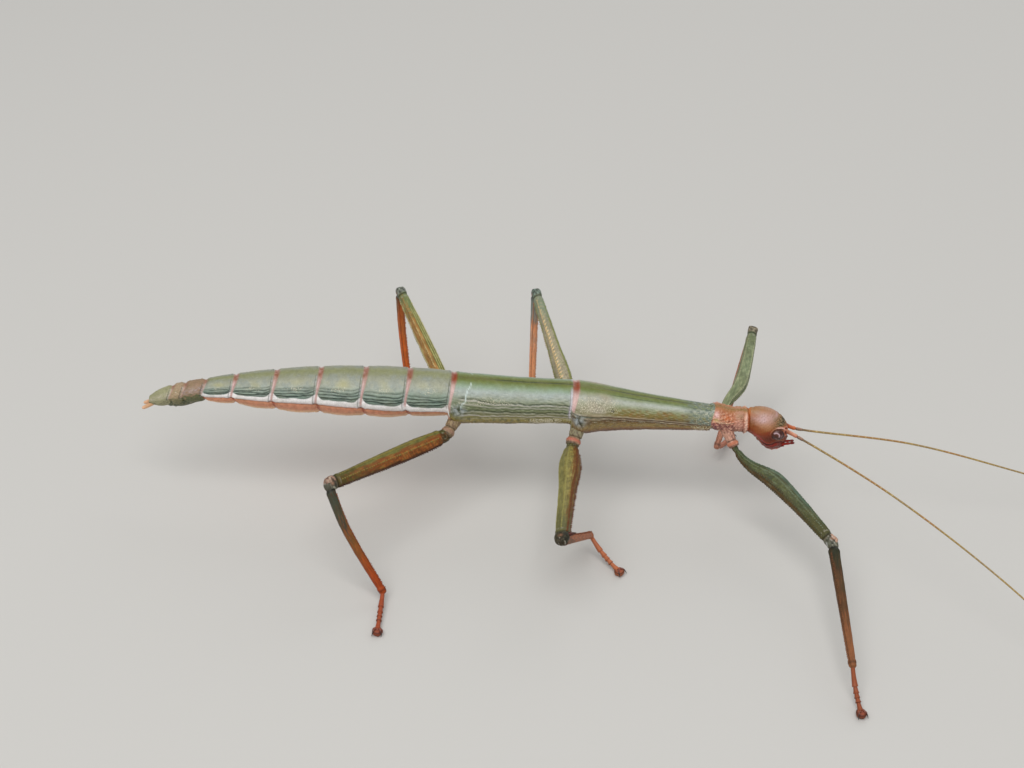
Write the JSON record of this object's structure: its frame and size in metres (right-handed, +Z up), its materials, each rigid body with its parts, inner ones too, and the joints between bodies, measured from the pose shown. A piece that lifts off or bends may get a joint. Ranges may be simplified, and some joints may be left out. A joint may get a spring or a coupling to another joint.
{
  "type": "giant stick insect model",
  "caption": "Life-size still model of a female giant walkingstick standing on its feet, with a ringed body and long feelers stretched forward.",
  "frame": {"origin": "middle of the model's box, at the level of the soles", "axes": "+X forward along the trunk towards the head, +Y to the insect's left, +Z up"},
  "size_m": [0.2094, 0.098, 0.0285],
  "materials": {
    "trunk": "satin grey-green cuticle with pink joint bands, dark wrinkles, a white side stripe and a red-brown belly",
    "scoop": "satin dark mottled green-brown cuticle",
    "head": "smooth tan-brown glossy cuticle",
    "eye": "glossy grey-brown",
    "feeler": "matt tan with darker joints",
    "mouthpart": "dark red-brown",
    "cercus": "matt peach-tan",
    "front_leg": "satin blue-green, turning brown along the shin",
    "middle_leg": "satin olive-green with orange-brown edges and shin",
    "hind_leg": "satin olive and orange-brown",
    "foot": "orange-red"
  },
  "bodies": {
    "root": {"abdomen_2": "trunk", "abdomen_3": "trunk", "abdomen_4": "trunk", "abdomen_5": "trunk", "abdomen_6": "trunk", "abdomen_7": "trunk", "abdomen_8": "trunk", "abdomen_9": "trunk", "abdomen_10": "trunk", "metathorax": "trunk", "mesothorax": "trunk", "prothorax": "trunk", "subgenital_plate": "scoop", "cercus_right": "cercus", "cercus_left": "cercus", "palp_right": "mouthpart", "eye_right": "eye", "feeler_right": "feeler", "palp_left": "mouthpart", "eye_left": "eye", "feeler_left": "feeler", "head": "head", "front_right_coxa": "front_leg", "front_right_femur": "front_leg", "front_right_tibia": "front_leg", "front_right_foot": "foot", "front_left_coxa": "front_leg", "front_left_femur": "front_leg", "front_left_tibia": "front_leg", "front_left_foot": "foot", "middle_right_coxa": "middle_leg", "middle_right_femur": "middle_leg", "middle_right_tibia": "middle_leg", "middle_right_foot": "foot", "middle_left_coxa": "middle_leg", "middle_left_femur": "middle_leg", "middle_left_tibia": "middle_leg", "middle_left_foot": "foot", "hind_right_coxa": "hind_leg", "hind_right_femur": "hind_leg", "hind_right_tibia": "hind_leg", "hind_right_foot": "foot", "hind_left_coxa": "hind_leg", "hind_left_femur": "hind_leg", "hind_left_tibia": "hind_leg", "hind_left_foot": "foot"}
  },
  "joints": []
}
